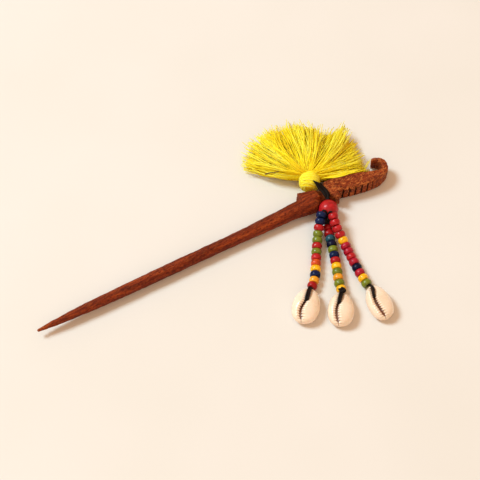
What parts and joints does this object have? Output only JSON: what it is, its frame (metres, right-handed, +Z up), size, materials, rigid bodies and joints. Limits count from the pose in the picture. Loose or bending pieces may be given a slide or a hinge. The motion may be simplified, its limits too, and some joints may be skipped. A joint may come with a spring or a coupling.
{
  "type": "hair pin",
  "caption": "Carved wooden hair stick with a curled trunk-shaped head, a yellow thread tassel and a pendant of beaded strands ending in cowrie shells.",
  "frame": {"origin": "on the flat underside of the carved head, below the root of the trunk, level with the table the pin lies on", "axes": "+X along the pin from its point to the curled trunk, +Z up from the table, +Y towards the tassel"},
  "size_m": [0.191, 0.1212, 0.0113],
  "materials": {
    "wood": "satin",
    "yellow_cotton": "matt cotton thread",
    "black_cord": "waxed cotton cord",
    "cowrie": "polished natural shell",
    "red": "gloss paint",
    "crimson": "gloss paint",
    "dark_red": "gloss paint",
    "blue": "gloss paint",
    "navy": "gloss paint",
    "teal": "gloss paint",
    "green": "gloss paint",
    "yellow": "gloss paint",
    "amber": "gloss paint",
    "orange": "gloss paint"
  },
  "bodies": {
    "pin": {"carved_pin": "wood", "hanger_cord": "black_cord"},
    "tassel": {"tassel_neck": "yellow_cotton"},
    "tassel_threads": {"tassel_skirt": "yellow_cotton"},
    "pendant": {"pendant_cord": "black_cord", "large_bead": "red", "strand_knot": "black_cord"},
    "strand_left_upper": {"cord_left_upper": "black_cord"},
    "strand_left_lower": {"cord_left_lower": "black_cord"},
    "shell_left_end": {"shell_left": "cowrie", "tie_left": "black_cord"},
    "strand_middle_upper": {"cord_middle_upper": "black_cord"},
    "strand_middle_lower": {"cord_middle_lower": "black_cord"},
    "shell_middle_end": {"shell_middle": "cowrie", "tie_middle": "black_cord"},
    "strand_right_upper": {"cord_right_upper": "black_cord"},
    "strand_right_lower": {"cord_right_lower": "black_cord"},
    "shell_right_end": {"shell_right": "cowrie", "tie_right": "black_cord"},
    "bead_left_01": {"bead_left_01": "blue"},
    "bead_left_02": {"bead_left_02": "blue"},
    "bead_left_03": {"bead_left_03": "red"},
    "bead_left_04": {"bead_left_04": "green"},
    "bead_left_05": {"bead_left_05": "green"},
    "bead_left_06": {"bead_left_06": "red"},
    "bead_left_07": {"bead_left_07": "green"},
    "bead_left_08": {"bead_left_08": "red"},
    "bead_left_09": {"bead_left_09": "orange"},
    "bead_left_10": {"bead_left_10": "yellow"},
    "bead_left_11": {"bead_left_11": "blue"},
    "bead_left_12": {"bead_left_12": "amber"},
    "bead_left_13": {"bead_left_13": "dark_red"},
    "bead_middle_01": {"bead_middle_01": "dark_red"},
    "bead_middle_02": {"bead_middle_02": "dark_red"},
    "bead_middle_03": {"bead_middle_03": "teal"},
    "bead_middle_04": {"bead_middle_04": "navy"},
    "bead_middle_05": {"bead_middle_05": "green"},
    "bead_middle_06": {"bead_middle_06": "blue"},
    "bead_middle_07": {"bead_middle_07": "red"},
    "bead_middle_08": {"bead_middle_08": "yellow"},
    "bead_middle_09": {"bead_middle_09": "green"},
    "bead_middle_10": {"bead_middle_10": "amber"},
    "bead_middle_11": {"bead_middle_11": "green"},
    "bead_middle_12": {"bead_middle_12": "yellow"},
    "bead_right_01": {"bead_right_01": "red"},
    "bead_right_02": {"bead_right_02": "red"},
    "bead_right_03": {"bead_right_03": "red"},
    "bead_right_04": {"bead_right_04": "red"},
    "bead_right_05": {"bead_right_05": "yellow"},
    "bead_right_06": {"bead_right_06": "crimson"},
    "bead_right_07": {"bead_right_07": "crimson"},
    "bead_right_08": {"bead_right_08": "red"},
    "bead_right_09": {"bead_right_09": "crimson"},
    "bead_right_10": {"bead_right_10": "navy"},
    "bead_right_11": {"bead_right_11": "crimson"},
    "bead_right_12": {"bead_right_12": "yellow"},
    "bead_right_13": {"bead_right_13": "green"}
  },
  "joints": [
    {"name": "tassel_sway", "type": "hinge", "parent": "pin", "child": "tassel", "pos_m": [-0.0124, 0.007, 0.008], "axis": [0, 0, 1], "range_deg": [-2, 25]},
    {"name": "tassel_lift", "type": "hinge", "parent": "tassel", "child": "tassel_threads", "pos_m": [-0.01064, 0.01368, 0.0104], "axis": [0.8759, -0.4825, 0], "range_deg": [0, 12]},
    {"name": "pendant_lift", "type": "hinge", "parent": "pin", "child": "pendant", "pos_m": [-0.0097, -0.0001, 0.00735], "axis": [-1, 0, 0], "range_deg": [0, 40]},
    {"name": "strand_left_sway", "type": "hinge", "parent": "pendant", "child": "strand_left_upper", "pos_m": [-0.01841, -0.0106, 0.00802], "axis": [0, 0, 1], "range_deg": [-25, 0]},
    {"name": "strand_left_curl", "type": "hinge", "parent": "strand_left_upper", "child": "strand_left_lower", "pos_m": [-0.02848, -0.0236, 0.00273], "axis": [-0.8278, 0.561, 0], "range_deg": [0, 12]},
    {"name": "shell_left_flop", "type": "hinge", "parent": "strand_left_lower", "child": "shell_left_end", "pos_m": [-0.04204, -0.04057, 0.0026], "axis": [-0.7431, 0.6691, 0], "range_deg": [0, 15]},
    {"name": "strand_middle_sway", "type": "hinge", "parent": "pendant", "child": "strand_middle_upper", "pos_m": [-0.01734, -0.01588, 0.00255], "axis": [0, 0, 1], "range_deg": [-1.5, 1.5]},
    {"name": "strand_middle_curl", "type": "hinge", "parent": "strand_middle_upper", "child": "strand_middle_lower", "pos_m": [-0.02333, -0.03207, 0.00255], "axis": [-0.9316, 0.3635, 0], "range_deg": [0, 12]},
    {"name": "shell_middle_flop", "type": "hinge", "parent": "strand_middle_lower", "child": "shell_middle_end", "pos_m": [-0.03031, -0.04945, 0.0026], "axis": [-0.8387, 0.5446, 0], "range_deg": [0, 15]},
    {"name": "strand_right_sway", "type": "hinge", "parent": "pendant", "child": "strand_right_upper", "pos_m": [-0.01375, -0.01419, 0.00825], "axis": [0, 0, 1], "range_deg": [0, 25]},
    {"name": "strand_right_curl", "type": "hinge", "parent": "strand_right_upper", "child": "strand_right_lower", "pos_m": [-0.01543, -0.03062, 0.00267], "axis": [-0.9917, 0.1284, 0], "range_deg": [0, 12]},
    {"name": "shell_right_flop", "type": "hinge", "parent": "strand_right_lower", "child": "shell_right_end", "pos_m": [-0.01667, -0.05305, 0.0026], "axis": [-0.9903, 0.1392, 0], "range_deg": [0, 15]},
    {"name": "bead_left_01_spin", "type": "hinge", "parent": "strand_left_upper", "child": "bead_left_01", "pos_m": [-0.01841, -0.0106, 0.00802], "axis": [-0.6341, -0.7232, -0.2738], "continuous": true},
    {"name": "bead_left_02_spin", "type": "hinge", "parent": "strand_left_upper", "child": "bead_left_02", "pos_m": [-0.02039, -0.01284, 0.00696], "axis": [-0.6108, -0.685, -0.3971], "continuous": true},
    {"name": "bead_left_03_spin", "type": "hinge", "parent": "strand_left_upper", "child": "bead_left_03", "pos_m": [-0.02227, -0.01494, 0.00551], "axis": [-0.582, -0.6939, -0.4239], "continuous": true},
    {"name": "bead_left_04_spin", "type": "hinge", "parent": "strand_left_upper", "child": "bead_left_04", "pos_m": [-0.02408, -0.01724, 0.00429], "axis": [-0.5558, -0.7602, -0.3366], "continuous": true},
    {"name": "bead_left_05_spin", "type": "hinge", "parent": "strand_left_upper", "child": "bead_left_05", "pos_m": [-0.02581, -0.01973, 0.00337], "axis": [-0.5539, -0.8016, -0.2252], "continuous": true},
    {"name": "bead_left_06_spin", "type": "hinge", "parent": "strand_left_upper", "child": "bead_left_06", "pos_m": [-0.0276, -0.02229, 0.00286], "axis": [-0.5658, -0.8167, -0.1134], "continuous": true},
    {"name": "bead_left_07_spin", "type": "hinge", "parent": "strand_left_lower", "child": "bead_left_07", "pos_m": [-0.02937, -0.02491, 0.0026], "axis": [-0.5495, -0.8343, -0.0447], "continuous": true},
    {"name": "bead_left_08_spin", "type": "hinge", "parent": "strand_left_lower", "child": "bead_left_08", "pos_m": [-0.03109, -0.02757, 0.00254], "axis": [-0.5412, -0.8409, -0.001], "continuous": true},
    {"name": "bead_left_09_spin", "type": "hinge", "parent": "strand_left_lower", "child": "bead_left_09", "pos_m": [-0.03282, -0.03022, 0.00255], "axis": [-0.5505, -0.8348, -0.0006], "continuous": true},
    {"name": "bead_left_10_spin", "type": "hinge", "parent": "strand_left_lower", "child": "bead_left_10", "pos_m": [-0.03457, -0.03287, 0.00254], "axis": [-0.5517, -0.8341, 0.0003], "continuous": true},
    {"name": "bead_left_11_spin", "type": "hinge", "parent": "strand_left_lower", "child": "bead_left_11", "pos_m": [-0.03636, -0.03548, 0.00255], "axis": [-0.5893, -0.8079, 0.0017], "continuous": true},
    {"name": "bead_left_12_spin", "type": "hinge", "parent": "strand_left_lower", "child": "bead_left_12", "pos_m": [-0.03836, -0.03794, 0.00255], "axis": [-0.6759, -0.737, 0], "continuous": true},
    {"name": "bead_left_13_spin", "type": "hinge", "parent": "strand_left_lower", "child": "bead_left_13", "pos_m": [-0.0407, -0.04007, 0.00255], "axis": [-0.7915, -0.6112, 0], "continuous": true},
    {"name": "bead_middle_01_spin", "type": "hinge", "parent": "strand_middle_upper", "child": "bead_middle_01", "pos_m": [-0.01734, -0.01588, 0.00255], "axis": [-0.382, -0.924, -0.0171], "continuous": true},
    {"name": "bead_middle_02_spin", "type": "hinge", "parent": "strand_middle_upper", "child": "bead_middle_02", "pos_m": [-0.01851, -0.01879, 0.00255], "axis": [-0.3614, -0.9324, 0.0029], "continuous": true},
    {"name": "bead_middle_03_spin", "type": "hinge", "parent": "strand_middle_upper", "child": "bead_middle_03", "pos_m": [-0.0196, -0.02174, 0.00255], "axis": [-0.3389, -0.9408, 0], "continuous": true},
    {"name": "bead_middle_04_spin", "type": "hinge", "parent": "strand_middle_upper", "child": "bead_middle_04", "pos_m": [-0.02064, -0.0247, 0.00255], "axis": [-0.328, -0.9447, 0], "continuous": true},
    {"name": "bead_middle_05_spin", "type": "hinge", "parent": "strand_middle_upper", "child": "bead_middle_05", "pos_m": [-0.02168, -0.02766, 0.00255], "axis": [-0.3337, -0.9427, 0], "continuous": true},
    {"name": "bead_middle_06_spin", "type": "hinge", "parent": "strand_middle_upper", "child": "bead_middle_06", "pos_m": [-0.02276, -0.03061, 0.00255], "axis": [-0.3552, -0.9348, 0], "continuous": true},
    {"name": "bead_middle_07_spin", "type": "hinge", "parent": "strand_middle_lower", "child": "bead_middle_07", "pos_m": [-0.0239, -0.03354, 0.00255], "axis": [-0.3713, -0.9285, 0], "continuous": true},
    {"name": "bead_middle_08_spin", "type": "hinge", "parent": "strand_middle_lower", "child": "bead_middle_08", "pos_m": [-0.02508, -0.03644, 0.00255], "axis": [-0.3842, -0.9233, 0], "continuous": true},
    {"name": "bead_middle_09_spin", "type": "hinge", "parent": "strand_middle_lower", "child": "bead_middle_09", "pos_m": [-0.02634, -0.03932, 0.00255], "axis": [-0.4185, -0.9082, 0], "continuous": true},
    {"name": "bead_middle_10_spin", "type": "hinge", "parent": "strand_middle_lower", "child": "bead_middle_10", "pos_m": [-0.02764, -0.04218, 0.00255], "axis": [-0.3975, -0.9176, 0], "continuous": true},
    {"name": "bead_middle_11_spin", "type": "hinge", "parent": "strand_middle_lower", "child": "bead_middle_11", "pos_m": [-0.02875, -0.04512, 0.00255], "axis": [-0.3045, -0.9525, 0], "continuous": true},
    {"name": "bead_middle_12_spin", "type": "hinge", "parent": "strand_middle_lower", "child": "bead_middle_12", "pos_m": [-0.02963, -0.04813, 0.00255], "axis": [-0.2722, -0.9622, 0], "continuous": true},
    {"name": "bead_right_01_spin", "type": "hinge", "parent": "strand_right_upper", "child": "bead_right_01", "pos_m": [-0.01375, -0.01419, 0.00825], "axis": [-0.2557, -0.9229, -0.2878], "continuous": true},
    {"name": "bead_right_02_spin", "type": "hinge", "parent": "strand_right_upper", "child": "bead_right_02", "pos_m": [-0.01452, -0.01713, 0.00725], "axis": [-0.174, -0.9208, -0.3491], "continuous": true},
    {"name": "bead_right_03_spin", "type": "hinge", "parent": "strand_right_upper", "child": "bead_right_03", "pos_m": [-0.01486, -0.02006, 0.00603], "axis": [-0.0345, -0.911, -0.411], "continuous": true},
    {"name": "bead_right_04_spin", "type": "hinge", "parent": "strand_right_upper", "child": "bead_right_04", "pos_m": [-0.01486, -0.02297, 0.0047], "axis": [-0.0178, -0.9173, -0.3978], "continuous": true},
    {"name": "bead_right_05_spin", "type": "hinge", "parent": "strand_right_upper", "child": "bead_right_05", "pos_m": [-0.01497, -0.02595, 0.00353], "axis": [-0.0558, -0.948, -0.3135], "continuous": true},
    {"name": "bead_right_06_spin", "type": "hinge", "parent": "strand_right_upper", "child": "bead_right_06", "pos_m": [-0.01523, -0.02904, 0.00277], "axis": [-0.1085, -0.9853, -0.132], "continuous": true},
    {"name": "bead_right_07_spin", "type": "hinge", "parent": "strand_right_lower", "child": "bead_right_07", "pos_m": [-0.01563, -0.0322, 0.00258], "axis": [-0.1355, -0.9906, -0.0171], "continuous": true},
    {"name": "bead_right_08_spin", "type": "hinge", "parent": "strand_right_lower", "child": "bead_right_08", "pos_m": [-0.01605, -0.03538, 0.00253], "axis": [-0.124, -0.9922, -0.0081], "continuous": true},
    {"name": "bead_right_09_spin", "type": "hinge", "parent": "strand_right_lower", "child": "bead_right_09", "pos_m": [-0.01644, -0.03855, 0.00254], "axis": [-0.1192, -0.9928, 0.0071], "continuous": true},
    {"name": "bead_right_10_spin", "type": "hinge", "parent": "strand_right_lower", "child": "bead_right_10", "pos_m": [-0.01681, -0.04173, 0.00255], "axis": [-0.1152, -0.9933, 0], "continuous": true},
    {"name": "bead_right_11_spin", "type": "hinge", "parent": "strand_right_lower", "child": "bead_right_11", "pos_m": [-0.01716, -0.04491, 0.00255], "axis": [-0.0967, -0.9953, 0], "continuous": true},
    {"name": "bead_right_12_spin", "type": "hinge", "parent": "strand_right_lower", "child": "bead_right_12", "pos_m": [-0.01738, -0.04811, 0.00255], "axis": [-0.0394, -0.9992, 0], "continuous": true},
    {"name": "bead_right_13_spin", "type": "hinge", "parent": "strand_right_lower", "child": "bead_right_13", "pos_m": [-0.01746, -0.0513, 0.00255], "axis": [-0.0224, -0.9997, 0], "continuous": true}
  ]
}
